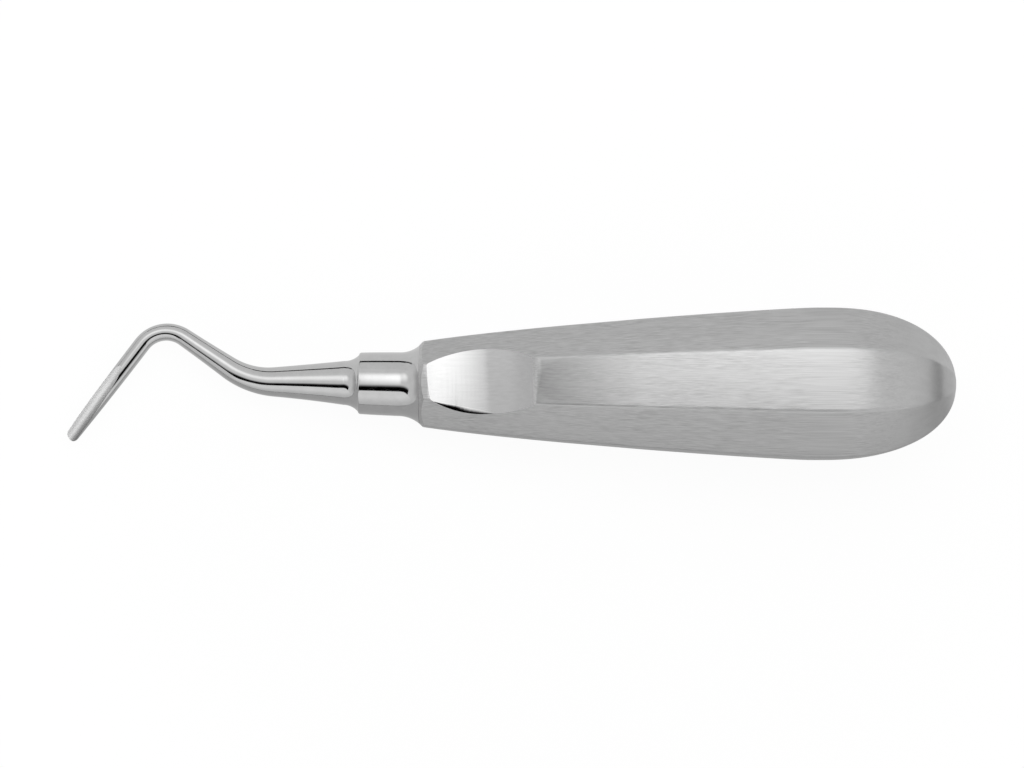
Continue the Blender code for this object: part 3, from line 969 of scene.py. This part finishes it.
# %% [markdown]
# ## The walls
# Every wall is dimmer at its foot, and ends above the table: the dark gap gives the thin black line along
# the top of the collar. A soft dark patch low in the left and the right wall stands for the open ends of the
# tent. Dark cards could stand there, but a mirror finish shows their sharp edges. Only the thin dark line
# on the upper side of the shank has such an edge, and it comes from a small black flag at the far wall.

# %% Walls and flag
def wall(name, centre, size, turn, foot, top, dark=0.0):
    """An upright sheet, turned about Z, lit from foot to top, with a soft dark patch low in its middle."""
    tree, glow = sheet(name, centre, size, (math.pi / 2, 0, turn))
    place = add_node(tree, "ShaderNodeTexCoord").outputs["Object"]
    along, up, out = add_node(tree, "ShaderNodeSeparateXYZ", [place]).outputs
    lit = add_node(tree, "ShaderNodeMapRange", [up, -0.5, 0.3, foot, top], **soft_step)
    aside = add_node(tree, "ShaderNodeMath", [along], operation="ABSOLUTE")
    near_middle = add_node(tree, "ShaderNodeMapRange", [aside, 0.08, 0.32, 1, 0], **soft_step)
    low = add_node(tree, "ShaderNodeMapRange", [up, -0.4, 0.1, dark, 0], **soft_step)
    patch = add_node(tree, "ShaderNodeMath", [near_middle, low], operation="MULTIPLY")
    kept = add_node(tree, "ShaderNodeMath", [1.0, patch], operation="SUBTRACT")
    level = add_node(tree, "ShaderNodeMath", [lit, kept], operation="MULTIPLY")
    tree.links.new(level.outputs[0], glow.inputs["Strength"])


wide = 560 * MM
quarter = math.pi / 2
wall("far_wall", (0, 280 * MM, 132 * MM), (wide, 188 * MM), turn=0, foot=0.76, top=0.78)
wall("near_wall", (0, -220 * MM, 120 * MM), (wide, 212 * MM), turn=0, foot=0.70, top=0.97)
wall("left_wall", (-280 * MM, 0, 120 * MM), (wide, 212 * MM), turn=quarter, foot=0.74, top=0.80, dark=0.35)
wall("right_wall", (280 * MM, 0, 120 * MM), (wide, 212 * MM), turn=quarter, foot=0.72, top=0.76, dark=0.6)
wall("far_flag", (-95 * MM, 276 * MM, 40 * MM), (95 * MM, 14 * MM), turn=0, foot=0.0, top=0.0)

# %% [markdown]
# ## The table and the background
# The instrument lies on a white table, and the picture's background is plain white. The table takes the
# instrument's soft shadow, and glows just enough to read as white to the camera, a little less near the
# instrument so that the shadow shows. The steel sees the table darker on the near side, where the tent is
# open. More lamps would whiten the table too, but they would wash out the steel.

# %% Table
table_size = 4
white_to_camera = 1.02
glow_share_near = 0.92
bpy.ops.object.select_all(action="DESELECT")
bpy.ops.mesh.primitive_plane_add(size=table_size)
table = bpy.context.object
table.name = "table"
paper = bpy.data.materials.new("white_paper")
paper.use_nodes = True
tree = paper.node_tree
tree.nodes.clear()
place = add_node(tree, "ShaderNodeTexCoord").outputs["Object"]
x, y, z = add_node(tree, "ShaderNodeSeparateXYZ", [place]).outputs
away = add_node(tree, "ShaderNodeVectorMath", [place], operation="LENGTH")
rays = add_node(tree, "ShaderNodeLightPath").outputs
mirrored = add_node(tree, "ShaderNodeMapRange", [y, -15 * MM, 15 * MM, 0.5, 0.80], **soft_step)
strength = add_node(tree, "ShaderNodeMix", {0: rays["Is Camera Ray"], 2: mirrored, 3: white_to_camera})
seen_share = add_node(tree, "ShaderNodeMapRange", [away, 60 * MM, 200 * MM, glow_share_near, 1], **soft_step)
shown = add_node(tree, "ShaderNodeMath", [rays["Is Camera Ray"], seen_share], operation="MULTIPLY")
amount = add_node(tree, "ShaderNodeMath", [shown, rays["Is Glossy Ray"]], operation="MAXIMUM")
matt = add_node(tree, "ShaderNodeBsdfDiffuse", {"Color": (0.9, 0.9, 0.9, 1)})
glow = add_node(tree, "ShaderNodeEmission", {"Strength": strength})
mix = add_node(tree, "ShaderNodeMixShader", [amount, matt, glow])
add_node(tree, "ShaderNodeOutputMaterial", {"Surface": mix})
table.data.materials.append(paper)
table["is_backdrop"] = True
print(f"Table: {table_size} m wide, with {len(tree.nodes)} nodes")

# %% World, white to the camera alone
world = bpy.data.worlds.new("white_room")
bpy.context.scene.world = world
world.use_nodes = True
tree = world.node_tree
tree.nodes.clear()
to_camera = add_node(tree, "ShaderNodeLightPath").outputs["Is Camera Ray"]
sky = add_node(tree, "ShaderNodeBackground", {"Color": (1, 1, 1, 1), "Strength": to_camera})
add_node(tree, "ShaderNodeOutputWorld", {"Surface": sky})
print("World:", world.name)

# %% [markdown]
# ## The camera
# The picture is taken from above with a long lens. It shows the edge of the flat at the side nearer to the
# viewer wider than the other, so the camera leans by 3.5 degrees to that side.

# %% Camera
camera_distance = 504 * MM
camera_lean = math.radians(3.5)
looked_at = Vector((15.9 * MM, 0.08 * MM, 0))
stand_back = camera_distance * Vector((0, -math.sin(camera_lean), math.cos(camera_lean)))
level_view = Matrix.Translation(looked_at + stand_back) @ Matrix.Rotation(camera_lean, 4, "X")
bpy.ops.object.camera_add()
camera = bpy.context.object
camera.matrix_world = place_on_table @ level_view
camera.data.sensor_width = 36
camera.data.lens = 98.4
bpy.context.scene.camera = camera
bpy.context.scene.view_settings.view_transform = "Standard"
print("Camera at", in_mm(camera.matrix_world.translation), "mm")

# %% Sizes of the CAD model and of the finished model
scene_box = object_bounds()
print("Finished box in mm:", [in_mm(corner) for corner in scene_box])
